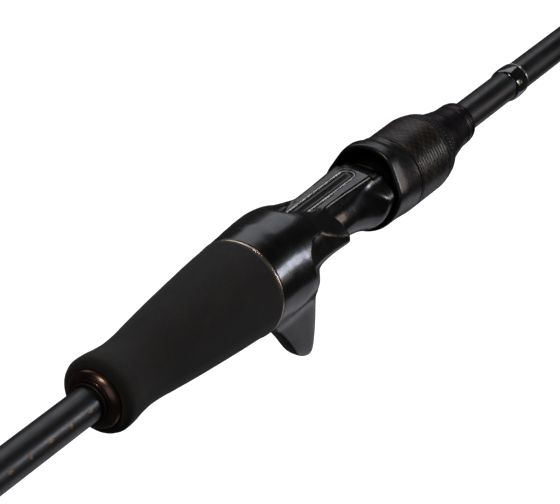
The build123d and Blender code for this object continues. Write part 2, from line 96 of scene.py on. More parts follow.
# Makes a mesh object from points in millimetres and quads, shaded smooth.
def meshPiece(name, points, quads, uv=None):
    mesh = bpy.data.meshes.new(name)
    points = np.asarray(points, np.float64).reshape(-1, 3) * mm
    quads = np.asarray(quads, np.int32).reshape(-1, 4)
    mesh.vertices.add(len(points))
    mesh.vertices.foreach_set("co", points.astype(np.float32).ravel())
    mesh.loops.add(quads.size)
    mesh.loops.foreach_set("vertex_index", quads.ravel())
    mesh.polygons.add(len(quads))
    mesh.polygons.foreach_set("loop_start", np.arange(0, quads.size, 4, dtype=np.int32))
    mesh.polygons.foreach_set("use_smooth", np.ones(len(quads), bool))
    mesh.update(calc_edges=True)
    if uv is not None:
        layer = mesh.uv_layers.new(name="UVMap")
        layer.data.foreach_set("uv", np.asarray(uv)[quads.ravel()].astype(np.float32).ravel())
    mesh.validate()
    piece = bpy.data.objects.new(name, mesh)
    bpy.context.scene.collection.objects.link(piece)
    return piece


# Quads of a grid of points, closed or open in each of its two directions.
def gridQuads(rows, columns, closedRows=True, closedColumns=True):
    i, j = np.meshgrid(
        np.arange(rows if closedRows else rows - 1),
        np.arange(columns if closedColumns else columns - 1),
        indexing="ij",
    )
    i2, j2 = (i + 1) % rows, (j + 1) % columns
    corners = [i * columns + j, i * columns + j2, i2 * columns + j2, i2 * columns + j]
    return np.stack(corners, -1).reshape(-1, 4)


# Rounds each corner of a closed outline of (x, radius) points by a short curve of its own size.
def softOutline(outline, radius, steps=3):
    points = np.array(outline, float)
    before, after = np.roll(points, 1, 0), np.roll(points, -1, 0)
    soft = []
    for p, a, b in zip(points, before, after):
        toA, toB = a - p, b - p
        lengthA, lengthB = np.hypot(*toA), np.hypot(*toB)
        cut = min(radius, 0.45 * lengthA, 0.45 * lengthB)
        start, end = p + toA / lengthA * cut, p + toB / lengthB * cut
        t = np.linspace(0, 1, steps + 1)[:, None]
        soft.append((1 - t) ** 2 * start + 2 * t * (1 - t) * p + t * t * end)
    return np.concatenate(soft)


# A closed outline of (x, radius) points turned about the rod's axis: each point goes round a circle.
def turnedPiece(name, outline, around=160, soften=0.15, relief=None):
    profile = softOutline(outline, soften) if soften else np.array(outline, float)
    area = np.sum(profile[:, 0] * np.roll(profile[:, 1], -1) - np.roll(profile[:, 0], -1) * profile[:, 1])
    if area > 0:
        profile = profile[::-1]
    angle = np.linspace(0, 2 * math.pi, around, endpoint=False)
    x = np.repeat(profile[:, :1], around, 1)
    r = np.repeat(profile[:, 1:], around, 1)
    if relief:
        r = relief(x, angle[None, :], r)
    points = np.stack([x, -r * np.sin(angle), r * np.cos(angle)], -1)
    uv = np.stack([x * mm, r * angle * mm], -1).reshape(-1, 2)
    return meshPiece(name, points, gridQuads(len(profile), around), uv)


def place(piece, body, slotName, material, *nodes):
    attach(piece, body)
    if nodes:
        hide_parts(*nodes)
    piece.data.materials.append(material)
    return piece


# ---------- helpers for materials ----------


def toLinear(colour):
    parts = [int(colour[i : i + 2], 16) / 255 for i in (1, 3, 5)]
    return tuple(c / 12.92 if c <= 0.04045 else ((c + 0.055) / 1.055) ** 2.4 for c in parts) + (1.0,)


def addNode(tree, kind, inputs=None, **settings):
    node = tree.nodes.new(kind)
    for name, value in settings.items():
        setattr(node, name, value)
    for name, value in (inputs or {}).items():
        if isinstance(value, bpy.types.NodeSocket):
            tree.links.new(value, node.inputs[name])
        else:
            node.inputs[name].default_value = value
    return node


def newMaterial(name, **shader):
    material = bpy.data.materials.new(name)
    material.use_nodes = True
    tree = material.node_tree
    bsdf = tree.nodes["Principled BSDF"]
    for socket, value in shader.items():
        bsdf.inputs[socket.replace("_", " ")].default_value = value
    return material, tree, bsdf


# A ramp between colours, each at its own place from 0 to 1.
def colourRamp(tree, factor, *stops):
    ramp = addNode(tree, "ShaderNodeValToRGB", {"Fac": factor})
    elements = ramp.color_ramp.elements
    while len(elements) < len(stops):
        elements.new(0.5)
    for element, (position, colour) in zip(elements, stops):
        element.position = position
        element.color = toLinear(colour) if isinstance(colour, str) else (colour, colour, colour, 1)
    return ramp.outputs["Color"]


# Object coordinates are in metres, so a pattern's scale is one over its size in metres.
def noiseAt(tree, size, detail=3.0, stretch=(1, 1, 1), roughness=0.5):
    coordinates = addNode(tree, "ShaderNodeTexCoord").outputs["Object"]
    mapped = addNode(tree, "ShaderNodeMapping", {"Vector": coordinates, "Scale": stretch})
    settings = {
        "Vector": mapped.outputs["Vector"],
        "Scale": 1 / (size * mm),
        "Detail": detail,
        "Roughness": roughness,
    }
    return addNode(tree, "ShaderNodeTexNoise", settings).outputs["Fac"]


def bumpFrom(tree, bsdf, height, depth, strength=1.0):
    bump = addNode(tree, "ShaderNodeBump", {"Height": height, "Distance": depth * mm, "Strength": strength})
    tree.links.new(bump.outputs["Normal"], bsdf.inputs["Normal"])
    return bump


def mathNode(tree, operation, a, b=0.0):
    return addNode(tree, "ShaderNodeMath", {0: a, 1: b}, operation=operation).outputs[0]


# Distance round the rod and along it, in metres, from the object's own coordinates.
def roundAndAlong(tree, radius):
    coordinates = addNode(tree, "ShaderNodeTexCoord").outputs["Object"]
    parts = addNode(tree, "ShaderNodeSeparateXYZ", {0: coordinates}).outputs
    angle = mathNode(tree, "ARCTAN2", parts["Y"], parts["Z"])
    return mathNode(tree, "MULTIPLY", angle, radius * mm), parts["X"]


# ---------- materials ----------


# Gloss lacquer over wound carbon fibre: near black, with faint marks left by the winding tape.
def makeLacqueredCarbon():
    material, tree, bsdf = newMaterial(
        "lacqueredCarbonBlank", Roughness=0.4, IOR=1.5, Coat_Weight=0.12, Coat_Roughness=0.2
    )
    fibres = noiseAt(tree, 0.9, 4, (0.06, 1, 1))
    colour = colourRamp(tree, fibres, (0.3, "#080808"), (0.75, "#131313"))
    tree.links.new(colour, bsdf.inputs["Base Color"])
    across, along = roundAndAlong(tree, 5)
    # winding tape 4 mm wide leaves a shallow step at each turn
    step = mathNode(tree, "MULTIPLY", along, 2 * math.pi / (4 * mm))
    turns = mathNode(tree, "ADD", step, mathNode(tree, "DIVIDE", across, 5 * mm))
    bumpFrom(tree, bsdf, mathNode(tree, "SINE", turns), 0.004, 0.6)
    wear = colourRamp(tree, noiseAt(tree, 6, 3), (0.35, 0.34), (0.7, 0.48))
    tree.links.new(wear, bsdf.inputs["Roughness"])
    return material


# Ground EVA foam: charcoal and matt, with a sanded grain and warm mottling where the cells open.
def makeEvaFoam():
    material, tree, bsdf = newMaterial(
        "groundEvaFoam", Roughness=0.86, IOR=1.45, Sheen_Weight=0.12, Sheen_Roughness=0.5
    )
    mottle = noiseAt(tree, 5.5, 5, (0.6, 1, 1), 0.62)
    grain = noiseAt(tree, 0.55, 4, (1, 1, 1), 0.7)
    base = colourRamp(tree, mottle, (0.34, "#0b0b0b"), (0.52, "#121110"), (0.68, "#1d1a18"))
    fleck = colourRamp(tree, grain, (0.42, "#090909"), (0.62, "#201e1c"))
    mixed = addNode(tree, "ShaderNodeMix", {0: 0.42, 6: base, 7: fleck}, data_type="RGBA")
    tree.links.new(mixed.outputs[2], bsdf.inputs["Base Color"])
    bumpFrom(tree, bsdf, grain, 0.10, 0.75)
    return material


# Anodised aluminium, turned: fine rings round the axis stretch the highlights.
def makeTurnedMetal(name, dark, light, roughness, ringSize=0.25):
    material, tree, bsdf = newMaterial(name, Metallic=1.0, Roughness=roughness)
    rings = noiseAt(tree, ringSize, 2, (1, 0.02, 0.02))
    cloud = noiseAt(tree, 3, 3)
    tree.links.new(colourRamp(tree, cloud, (0.3, dark), (0.7, light)), bsdf.inputs["Base Color"])
    spread = colourRamp(tree, rings, (0.3, roughness * 0.75), (0.7, roughness * 1.35))
    tree.links.new(spread, bsdf.inputs["Roughness"])
    bumpFrom(tree, bsdf, rings, 0.006, 0.5)
    return material


# Moulded glass-filled nylon under black lacquer: deep gloss with a faint orange peel.
def makeGlossSeat():
    material, tree, bsdf = newMaterial(
        "lacqueredNylonSeat", Roughness=0.24, IOR=1.5, Coat_Weight=0.25, Coat_Roughness=0.14
    )
    tint = colourRamp(tree, noiseAt(tree, 8, 2), (0.3, "#050506"), (0.7, "#0b0b0d"))
    tree.links.new(tint, bsdf.inputs["Base Color"])
    smear = colourRamp(tree, noiseAt(tree, 4, 4), (0.35, 0.2), (0.7, 0.3))
    tree.links.new(smear, bsdf.inputs["Roughness"])
    bumpFrom(tree, bsdf, noiseAt(tree, 1.6, 2), 0.006, 0.35)
    return material


# Moulded nylon, spark-eroded satin: broad soft highlights and a fine even texture.
def makeSatinNylon(name, dark="#0a0a0b", light="#131314", roughness=0.34):
    material, tree, bsdf = newMaterial(name, Roughness=roughness, IOR=1.5)
    tree.links.new(
        colourRamp(tree, noiseAt(tree, 3, 3), (0.3, dark), (0.7, light)), bsdf.inputs["Base Color"]
    )
    spread = colourRamp(tree, noiseAt(tree, 1.5, 4), (0.3, roughness * 0.85), (0.7, roughness * 1.2))
    tree.links.new(spread, bsdf.inputs["Roughness"])
    bumpFrom(tree, bsdf, noiseAt(tree, 0.3, 2), 0.008, 0.35)
    return material


# Plain-woven carbon under satin resin: tows 1.3 mm wide pass over and under each other. Its colour is painted
# sheen: warm brown streaks and a checker of lighter and darker tows stand for light caught by the weave.
def makeWovenCarbon():
    material, tree, bsdf = newMaterial("wovenCarbonSleeve", Roughness=0.34, IOR=1.5, Metallic=0.45)
    across, along = roundAndAlong(tree, 12.5)
    tow = 1.3 * mm
    a = mathNode(tree, "DIVIDE", across, tow)
    b = mathNode(tree, "DIVIDE", along, tow)
    cells = mathNode(tree, "ADD", mathNode(tree, "FLOOR", a), mathNode(tree, "FLOOR", b))
    twillSheenChecker = mathNode(tree, "MODULO", mathNode(tree, "ABSOLUTE", cells), 2.0)
    bands = mathNode(tree, "ABSOLUTE", mathNode(tree, "SINE", mathNode(tree, "MULTIPLY", b, math.pi)))
    # hair-fine fibres lie round the sleeve, so their noise is stretched that way
    fibres = noiseAt(tree, 0.22, 3, (1, 0.03, 0.03))
    cloud = noiseAt(tree, 3.4, 4, (1, 0.35, 0.35))
    halfFibres = mathNode(tree, "MULTIPLY", fibres, 0.5)
    # painted sheen: the checker lightens every other tow, and the fibre and cloud noise add warm brown
    # highlights
    towSheenTone = mathNode(tree, "ADD", mathNode(tree, "MULTIPLY", twillSheenChecker, 0.1), halfFibres)
    mixed = mathNode(tree, "ADD", towSheenTone, mathNode(tree, "MULTIPLY", cloud, 0.45))
    colour = colourRamp(tree, mixed, (0.34, "#0b0a09"), (0.5, "#1c1916"), (0.68, "#4a4037"))
    tree.links.new(colour, bsdf.inputs["Base Color"])
    relief = mathNode(tree, "ADD", mathNode(tree, "MULTIPLY", bands, 0.5), halfFibres)
    bumpFrom(tree, bsdf, relief, 0.05, 0.6)
    spread = colourRamp(tree, fibres, (0.3, 0.28), (0.7, 0.46))
    tree.links.new(spread, bsdf.inputs["Roughness"])
    return material


# Nylon thread under epoxy: gloss with fine ribs, drawn 0.4 mm apart so that they show. The colour holds
# painted shade, darker in the grooves between ribs and lighter on their crests.
def makeEpoxiedThread():
    material, tree, bsdf = newMaterial(
        "epoxiedThread", Roughness=0.1, IOR=1.53, Coat_Weight=1.0, Coat_Roughness=0.03
    )
    across, along = roundAndAlong(tree, 5)
    ribs = mathNode(tree, "SINE", mathNode(tree, "MULTIPLY", along, 2 * math.pi / (0.4 * mm)))
    # painted shade: the colour follows the rib height, dark in the grooves and light on the crests
    ribShadeShare = mathNode(tree, "ADD", mathNode(tree, "MULTIPLY", ribs, 0.5), 0.5)
    colour = colourRamp(tree, ribShadeShare, (0.2, "#050506"), (0.8, "#121214"))
    tree.links.new(colour, bsdf.inputs["Base Color"])
    bumpFrom(tree, bsdf, ribs, 0.01, 0.5)
    return material


# Natural rubber, moulded: soft black with a slight bloom.
def makeRubber():
    material, tree, bsdf = newMaterial("mouldedRubber", Roughness=0.6, IOR=1.5)
    tree.links.new(
        colourRamp(tree, noiseAt(tree, 2.5, 4), (0.3, "#0b0b0b"), (0.7, "#181817")), bsdf.inputs["Base Color"]
    )
    bumpFrom(tree, bsdf, noiseAt(tree, 0.4, 3), 0.02, 0.4)
    return material


# Sintered ceramic, polished: dark grey with sharp reflections.
def makeCeramic():
    material, tree, bsdf = newMaterial("polishedCeramic", Roughness=0.08, IOR=2.1)
    tree.links.new(
        colourRamp(tree, noiseAt(tree, 0.5, 3), (0.3, "#17171a"), (0.7, "#26262a")), bsdf.inputs["Base Color"]
    )
    bumpFrom(tree, bsdf, noiseAt(tree, 0.8, 2), 0.002, 0.3)
    return material


materials = {
    "blank": makeLacqueredCarbon(),
    "eva": makeEvaFoam(),
    "bronze": makeTurnedMetal("bronzeAnodisedAluminium", "#4b3b36", "#6a564e", 0.26),
    "ring": makeTurnedMetal("brightCutAluminium", "#c9b7a6", "#e6d8ca", 0.2),
    "gunmetal": makeTurnedMetal("gunmetalAnodisedAluminium", "#2f2b2e", "#453f43", 0.33),
    "seat": makeGlossSeat(),
    "hood": makeSatinNylon("satinNylonHood", "#0c0c0d", "#151516", 0.3),
    "nut": makeSatinNylon("satinNylonNut", "#090909", "#121212", 0.36),
    "carbon": makeWovenCarbon(),
    "thread": makeEpoxiedThread(),
    "silver": makeTurnedMetal("metallicTrimThread", "#9c9a96", "#dedbd5", 0.22, 0.4),
    "rubber": makeRubber(),
    "plate": makeSatinNylon("printedInlayPlate", "#0d0c0b", "#1c1a18", 0.3),
    "plateEdge": makeTurnedMetal("brightPlateEdge", "#8d8a86", "#c4c0ba", 0.3),
    "chrome": makeTurnedMetal("blackChromedSteel", "#3a3a3e", "#55555a", 0.18),
    "ceramic": makeCeramic(),
    "steel": makeTurnedMetal("springSteel", "#77767a", "#97969a", 0.3),
    # bronze for the lozenges on the blank: painted reflection, standing for glints of the blank's cross wrap
    "print": makeTurnedMetal("bronzeGlintPaint", "#5c4a38", "#8a715a", 0.45, 1.0),
    "foam": makeSatinNylon("rigidFoamBushing", "#6d6c6a", "#8c8b88", 0.8),
}
print("materials made")


# ---------- reel seat: one smooth field, its zero surface meshed ----------

seat = dict(
    cell=0.36,  # grid spacing
    deckTop=high("deck_plate")[2],
    deckStart=8.0,
    deckFloor=2.0,
    neckStart=20.0,
    bladeTop=-4.0,
    pocketStart=12.0,
    pocketEnd=45.0,
    pocketRise=3.5,
    pocketHalf=4.4,
    flangeEnd=66.6,
    shoulderSlope=0.8,
    shoulderReach=13.4,
    triggerTip=-38.7,
)
# the hood's rear outline: an arch, two flat sides and a round underside
hood = dict(
    archRadius=13.8,
    archCentre=1.4,
    flatNormal=(0.870, 0.493),
    flatReach=13.3,
    underRadius=13.37,
    underCentre=2.17,
    wall=1.4,
    cornerSoft=0.9,
)


# Signed distance to the hood's outline: the largest of its arch, flats and underside, rounded.
def hoodOutline(y, z, k=0.6):
    arch = np.hypot(y, z - hood["archCentre"]) - hood["archRadius"]
    under = np.hypot(y, z - hood["underCentre"]) - hood["underRadius"]
    flat = hood["flatNormal"][0] * np.abs(y) + hood["flatNormal"][1] * z - hood["flatReach"]
    return smoothMax(smoothMax(arch, under, k), flat, k)


bellHalfWidth = (
    (0, 15.0), (5, 15.0), (10, 15.25), (15, 15.65),
    (19, 15.6), (28, 14.6), (34, 13.9), (40, 13.5),
)
bellTop = ((0, 15.0), (5, 15.5), (10, 15.9), (18, 15.9), (23, 15.2), (28, 13.3), (34, 11.2), (40, 9.5))
bellBottom = ((0, -15.0), (9, -15.1), (18, -14.0), (28, -11.5), (40, -8.0))
bellFront = (
    (-16, 34.6),
    (-12.5, 34.4),
    (-6, 33.7),
    (-2.5, 34.5),
    (-0.8, 36.4),
    (1.0, 38.0),
    (3.7, 38.1),
    (7.5, 37.5),
    (9.9, 36.0),
    (11.5, 31.2),
    (13.2, 27.5),
    (15.6, 21.7),
    (17.0, 18.5),
)
triggerBack = (
    (-38.7, 31.5), (-37, 29.2), (-34.1, 26.0), (-27.2, 20.6),
    (-22.9, 16.9), (-18, 12.0), (-12, 4.0),
)
triggerFront = (
    (-38.7, 33.6), (-36.8, 34.4), (-33.8, 34.8), (-27, 35.0),
    (-20, 34.8), (-14, 34.2), (-8, 33.0),
)
triggerHalf = ((-38.7, 3.0), (-34, 4.3), (-26, 5.3), (-20, 5.9), (-14, 6.8), (-8, 8.0))
creaseLine = (
    (-26, 35.0), (-20, 32.6), (-14, 28.0), (-6.7, 20.5),
    (0, 16.6), (6.1, 15.4), (10.2, 18.8), (12, 23),
)
creaseHalf = ((-26, 5.6), (-20, 6.4), (-14, 7.4), (-10, 10.2), (-6.7, 13.0), (0, 15.4), (6, 14.7), (12, 12.0))
frontHalf = (
    (-26, 5.4), (-20, 5.6), (-14.5, 5.6), (-8.7, 5.6), (-4.9, 7.2),
    (-3.1, 8.6), (-1.4, 10.4), (2, 13.6), (8, 13.6),
)
hollowDepth = ((-26, 0.0), (-14, 0.8), (-6, 1.6), (0, 2.4), (10, 2.4))
dishTop = ((15, 9.5), (18.8, 10.2), (25, 9.9), (31.9, 8.6), (35.4, 6.2), (38, 3.9))
deckHalf = ((8, 6.6), (24, 6.6), (30, 6.3), (38, 5.4), (46, 5.6), (52, 5.9), (58, 6.2), (62, 6.4), (67, 6.5))
deckRise = ((8, 0.0), (60.2, 0.0), (60.9, -0.9), (61.8, -1.75), (63, -1.8), (67, -1.8))
neckFlare = (
    (18, 7.3), (46, 7.3), (50, 7.6), (54, 8.4), (57.5, 9.5),
    (60.5, 10.8), (63, 12.0), (65, 12.8), (67, 13.4),
)
neckLift = ((46, 0.0), (56, 1.0), (63, 1.6), (67, 1.8))


def seatField(x, y, z):
    y = np.abs(y)
    width = smoothCurve(bellHalfWidth, x)
    top, bottom = smoothCurve(bellTop, x), smoothCurve(bellBottom, x)
    middle, rise = (top + bottom) / 2, (top - bottom) / 2
    bell = (np.hypot(y / width, (z - middle) / rise) - 1) * np.minimum(width, rise)
    back, front = smoothCurve(triggerBack, z), smoothCurve(triggerFront, z)
    half = smoothCurve(triggerHalf, z) * (0.62 + 0.38 * np.clip((x - back) / (front - back), 0, 1))
    centre, reach = (back + front) / 2, (front - back) / 2
    blade = ((np.abs((x - centre) / reach) ** 3.4 + (y / half) ** 3.4) ** (1 / 3.4) - 1) * half
    blade = smoothMax(blade, seat["triggerTip"] - z, 2.4)
    blade = smoothMax(blade, z - seat["bladeTop"], 2)
    shell = smoothMin(bell, blade, 9)
    # the finger rest: ahead of the crease the side is hollowed down to the width of the front edge
    crease, frontEdge = smoothCurve(creaseLine, z), smoothCurve(bellFront, z)
    along = np.clip((x - crease) / np.maximum(frontEdge - crease, 1.0), 0, 1)
    creaseY = smoothCurve(creaseHalf, z)
    hollow = smoothCurve(hollowDepth, z) * 2.6 * np.sqrt(along) * (1 - along) * (1 - 0.3 * along)
    side = creaseY + (smoothCurve(frontHalf, z) - creaseY) * along - hollow
    dish = smoothMax((side - y) * 0.85, crease - x, 0.5)
    dish = smoothMax(dish, (z - smoothCurve(dishTop, x)) * 0.9, 0.5)
    shell = smoothMax(shell, -dish, 0.5)
    edge = (x - smoothCurve(bellFront, z)) * 0.8
    shell = smoothMax(shell, edge, 0.7)
    shell = smoothMax(shell, -x, 0.25)
    # deck and neck
    deckZ = seat["deckTop"] + smoothCurve(deckRise, x)
    deck = smoothMax(y - smoothCurve(deckHalf, x), z - deckZ, 1.3)
    deck = smoothMax(deck, seat["deckStart"] - x, 0.5)
    deck = np.maximum(deck, seat["deckFloor"] - z)
    neck = np.hypot(y, z - smoothCurve(neckLift, x)) - smoothCurve(neckFlare, x)
    neck = smoothMax(neck, hoodOutline(y, z) + hood["wall"] + 0.3, 0.5)
    neck = np.maximum(neck, seat["neckStart"] - x)
    neck = smoothMax(neck, z - np.where(x > 55, deckZ, 99), 0.4)
    neck = smoothMax(neck, z + seat["shoulderSlope"] * y - seat["shoulderReach"], 1.2)
    core = smoothMin(deck, neck, 1.6)
    core = smoothMax(core, x - seat["flangeEnd"], 0.4)
    body = smoothMin(shell, core, 1.5)
    # the pocket of the fixed hood
    roof = seat["deckTop"] + seat["pocketRise"] * (1 - (y / seat["pocketHalf"]) ** 2)
    pocket = smoothMax(seat["deckTop"] - z, (z - roof) * 0.7, 0.3)
    pocket = smoothMax(pocket, seat["pocketStart"] - x, 0.8)
    pocket = np.maximum(pocket, x - seat["pocketEnd"])
    body = smoothMax(body, -pocket, 0.45)
    # the groove of the inlaid plate
    slotLow, slotHigh = low("deck_plate")[0] - ringX, high("deck_plate")[0] - ringX
    slotHalf = high("deck_plate")[1]
    run = np.maximum(np.maximum(slotLow + slotHalf - x, x - slotHigh + slotHalf), 0)
    groove = np.maximum(np.hypot(run, y) - slotHalf - 0.05, seat["deckTop"] - 0.8 - z)
    return np.maximum(body, -groove)


# Surface nets: one vertex in each grid cell that the zero surface crosses, at the mean of its edge
# crossings, moved onto the surface along the gradient. Quads join the four cells round each crossed edge.
def surfaceNet(field, lowCorner, highCorner, cell):
    axes = [np.arange(a, b + cell, cell) for a, b in zip(lowCorner, highCorner)]
    grid = np.meshgrid(*axes, indexing="ij")
    values = field(*grid)
    inside = values < 0
    shape = np.array(values.shape) - 1
    corners = [(i, j, k) for i in (0, 1) for j in (0, 1) for k in (0, 1)]

    def corner(array, c):
        return array[c[0] : c[0] + shape[0], c[1] : c[1] + shape[1], c[2] : c[2] + shape[2]]

    count = sum(corner(inside, c).astype(np.int8) for c in corners)
    active = (count > 0) & (count < 8)
    number = np.full(active.shape, -1, np.int64)
    number[active] = np.arange(active.sum())
    base = np.stack([axes[a][index] for a, index in enumerate(np.nonzero(active))], -1)
    total, crossings = np.zeros_like(base), np.zeros(len(base))
    for c in corners:
        for a in range(3):
            if c[a]:
                continue
            d = tuple(1 if n == a else v for n, v in enumerate(c))
            va, vb = corner(values, c)[active], corner(values, d)[active]
            crossed = (va < 0) != (vb < 0)
            share = np.where(crossed, va / np.where(crossed, va - vb, 1), 0)
            point = np.array(c, float)[None, :].repeat(len(base), 0)
            point[:, a] = share
            total += point * crossed[:, None]
            crossings += crossed
    points = base + cell * total / crossings[:, None]
    step = cell * 0.05
    for turn in range(3):
        value = field(*points.T)
        slope = np.stack(
            [
                (field(*(points + shift).T) - field(*(points - shift).T)) / (2 * step)
                for shift in step * np.eye(3)
            ],
            -1,
        )
        size = np.maximum((slope**2).sum(-1), 0.05)
        move = -value[:, None] * slope / size[:, None]
        points = points + np.clip(move, -cell * 0.4, cell * 0.4)
    quads = []
    for a in range(3):
        b, c = (a + 1) % 3, (a + 2) % 3
        lowSide = np.take(inside, range(inside.shape[a] - 1), a)
        highSide = np.take(inside, range(1, inside.shape[a]), a)
        for leaving in (True, False):
            crossed = (lowSide & ~highSide) if leaving else (~lowSide & highSide)
            index = np.stack(np.nonzero(crossed), -1)
            index = index[(index[:, b] > 0) & (index[:, c] > 0)]
            index = index[(index[:, b] < shape[b]) & (index[:, c] < shape[c])]
            around = []
            for db, dc in ((0, 0), (-1, 0), (-1, -1), (0, -1)):
                near = index.copy()
                near[:, b] += db
                near[:, c] += dc
                around.append(number[tuple(near.T)])
            quad = np.stack(around, -1)
            quads.append(quad if leaving else quad[:, ::-1])
    return points, np.concatenate(quads)


points, quads = surfaceNet(seatField, (-0.6, -16.2, -39.6), (67.6, 16.2, 16.8), seat["cell"])
points[:, 0] += ringX
seatShell = meshPiece("seatShell", points, quads)
place(seatShell, rodBody, "gloss_black_seat", materials["seat"], "seat_body")
print("seat", len(quads), "quads")


# ---------- barrel with its thread ----------

barrel = dict(pitch=2.0, depth=0.45, threadStart=70.0, threadEnd=101.0)


# The radius of a turned outline falls by a rounded V once for each pitch along x and each turn.
def threadRelief(x, angle, r):
    phase = ((x - ringX) / barrel["pitch"] - angle / (2 * math.pi)) % 1
    groove = ease(1 - np.abs(phase * 2 - 1) * 1.5) * barrel["depth"]
    run = ease((x - ringX - barrel["threadStart"]) / 2) * ease((ringX + barrel["threadEnd"] - x) / 2)
    return r - groove * run * (r > barrelRadius - 0.6)


barrelEnd = high("seat_body")[0]
barrelRadius = low("hood_retainer")[2] * -1 - 0.9 - 0.3
threadX = np.linspace(ringX + 68, ringX + 101.6, 200)
barrelOutline = [
    (ringX + 67, 6.2),
    (barrelEnd, 6.2),
    (barrelEnd, 8.4),
    (ringX + 102, 8.4),
    (ringX + 102, barrelRadius),
    *[(x, barrelRadius) for x in threadX[::-1]],
    (ringX + 67, barrelRadius),
]
seatBarrel = turnedPiece("seatBarrel", barrelOutline, 96, 0, threadRelief)
place(seatBarrel, rodBody, "gloss_black_seat", materials["nut"])


# ---------- inlaid plate: a dark slot-shaped plate with a bright raised edge ----------

plate = dict(edge=0.42, edgeProud=0.07, sunk=0.12, ends=24)


# Slot outline at a distance inside the plate's edge: two straights and two half circles.
def slotOutline(inset, perEnd):
    x0, x1 = low("deck_plate")[0], high("deck_plate")[0]
    half = high("deck_plate")[1]
    t = np.linspace(-math.pi / 2, math.pi / 2, perEnd)
    front = np.stack([x1 - half + (half - inset) * np.cos(t), (half - inset) * np.sin(t)], -1)
    back = np.stack([x0 + half - (half - inset) * np.cos(t), -(half - inset) * np.sin(t)], -1)
    return np.concatenate([front, back])


# A stack of slot outlines, each with its inset and height, joined in order into a closed band.
def slotBand(name, rings, closed):
    outlines = []
    for inset, height in rings:
        flat = slotOutline(inset, plate["ends"])
        outlines.append(np.column_stack([flat, np.full(len(flat), height)]))
    points = np.stack(outlines)
    return meshPiece(name, points, gridQuads(len(rings), points.shape[1], closedRows=closed)[:, ::-1])


plateTop = high("deck_plate")[2]
edgeRings = [
    (0.0, plateTop - 0.5),
    (0.02, plateTop + plate["edgeProud"] * 0.5),
    (0.12, plateTop + plate["edgeProud"]),
    (plate["edge"] - 0.1, plateTop + plate["edgeProud"]),
    (plate["edge"], plateTop + plate["edgeProud"] * 0.5),
    (plate["edge"], plateTop - 0.5),
]
plateEdge = slotBand("plateEdge", edgeRings, True)
place(plateEdge, rodBody, "inlay_plate", materials["plateEdge"])
half = high("deck_plate")[1]
fillRings = [
    (half - 0.001, plateTop - 0.7),
    (plate["edge"], plateTop - 0.7),
    (plate["edge"], plateTop - plate["sunk"]),
    (half - 0.001, plateTop - plate["sunk"]),
]
plateFace = slotBand("plateFace", fillRings, True)
place(plateFace, rodBody, "inlay_plate", materials["plate"], "deck_plate")
print("plate made")


# ---------- sliding hood: rings of the rear outline that turn into the nut's circle ----------

seamX = low("nut_sleeve")[0] - 1.1
seamRadius = high("nut_sleeve")[1]
rimX = ringX + 65.7
bulkheadX = seamX - 2.4
hoodLook = dict(around=256, rimLean=0.2, dimpleX=seamX - 3.4, dimpleDepth=0.28)


# How far the hood's outline lies from the axis in each direction: where its field turns positive.
def outlineReach(angle, inset):
    near, far = np.zeros_like(angle), np.full_like(angle, 30.0)
    for turn in range(30):
        middle = (near + far) / 2
        out = hoodOutline(middle * np.sin(angle), middle * np.cos(angle), hood["cornerSoft"]) + inset > 0
        far, near = np.where(out, middle, far), np.where(out, near, middle)
    return near


angle = np.linspace(0, 2 * math.pi, hoodLook["around"], endpoint=False)
# each ring: place from the rim (0) to the seam (1), inset from the outline, and share of the seam's circle
outerRings = [(t, 0.0, ease((t - 0.25) / 0.75)) for t in np.linspace(0.08, 0.985, 26)]
rimRings = [
    (t, inset, 0.0)
    for t, inset in ((0.045, 0.05), (0.018, 0.2), (0.0, 0.45), (0.0, 1.0), (0.015, 1.25), (0.06, 1.4))
]
hoodRings = []
for t, inset, share in rimRings[::-1] + outerRings:
    reach = outlineReach(angle, inset)
    r = reach * (1 - share) + seamRadius * share
    lean = hoodLook["rimLean"] * r * np.cos(angle) * (1 - t)
    x = rimX + lean + (seamX - rimX) * t
    hoodRings.append((x, r))
for x, r in ((seamX - 0.12, seamRadius - 0.05), (seamX, seamRadius - 0.25), (seamX, 9.55), (bulkheadX, 9.55)):
    hoodRings.append((np.full_like(angle, x), np.full_like(angle, r)))
for t in (1.0, 0.5, 0.1):
    r = outlineReach(angle, hood["wall"])
    lean = hoodLook["rimLean"] * r * np.cos(angle) * (1 - t)
    hoodRings.append((rimX + lean + (bulkheadX - rimX) * t, r))
x = np.stack([ring[0] for ring in hoodRings])
r = np.stack([ring[1] for ring in hoodRings])
outer = np.zeros(len(hoodRings), bool)
outer[5 : 5 + len(outerRings)] = True
spot = ((x - hoodLook["dimpleX"]) / 1.0) ** 2 + ((angle[None, :] + 0.0) / 0.11) ** 2
spot = np.minimum(spot, ((x - hoodLook["dimpleX"]) / 1.0) ** 2 + ((angle[None, :] - 2 * math.pi) / 0.11) ** 2)
r = r - hoodLook["dimpleDepth"] * ease(1.3 - spot) * outer[:, None]
points = np.stack([x, -r * np.sin(angle), r * np.cos(angle)], -1)
hoodShell = meshPiece("hoodShell", points, gridQuads(len(hoodRings), hoodLook["around"])[:, ::-1])
place(hoodShell, hoodBody, "satin_black_hood", materials["hood"], "front_hood")
print("hood made")


# ---------- lock nut and its carbon sleeve ----------

nut = dict(knurls=72, knurlDepth=0.16, ribPitch=1.3, ribDepth=0.05)
sleeveX, sleeveEnd = low("nut_sleeve")[0], high("nut_sleeve")[0]
nutX, nutEnd = low("lock_nut")[0], high("lock_nut")[0]
nutBore = 9.5


# A band of fine lengthwise ribs near the front of the nut.
def knurl(x, angle, r):
    band = ease((x - sleeveEnd - 0.9) / 0.3) * ease((sleeveEnd + 3.4 - x) / 0.3) * (r > 10.6)
    return r - nut["knurlDepth"] * (0.5 + 0.5 * np.cos(angle * nut["knurls"])) * band


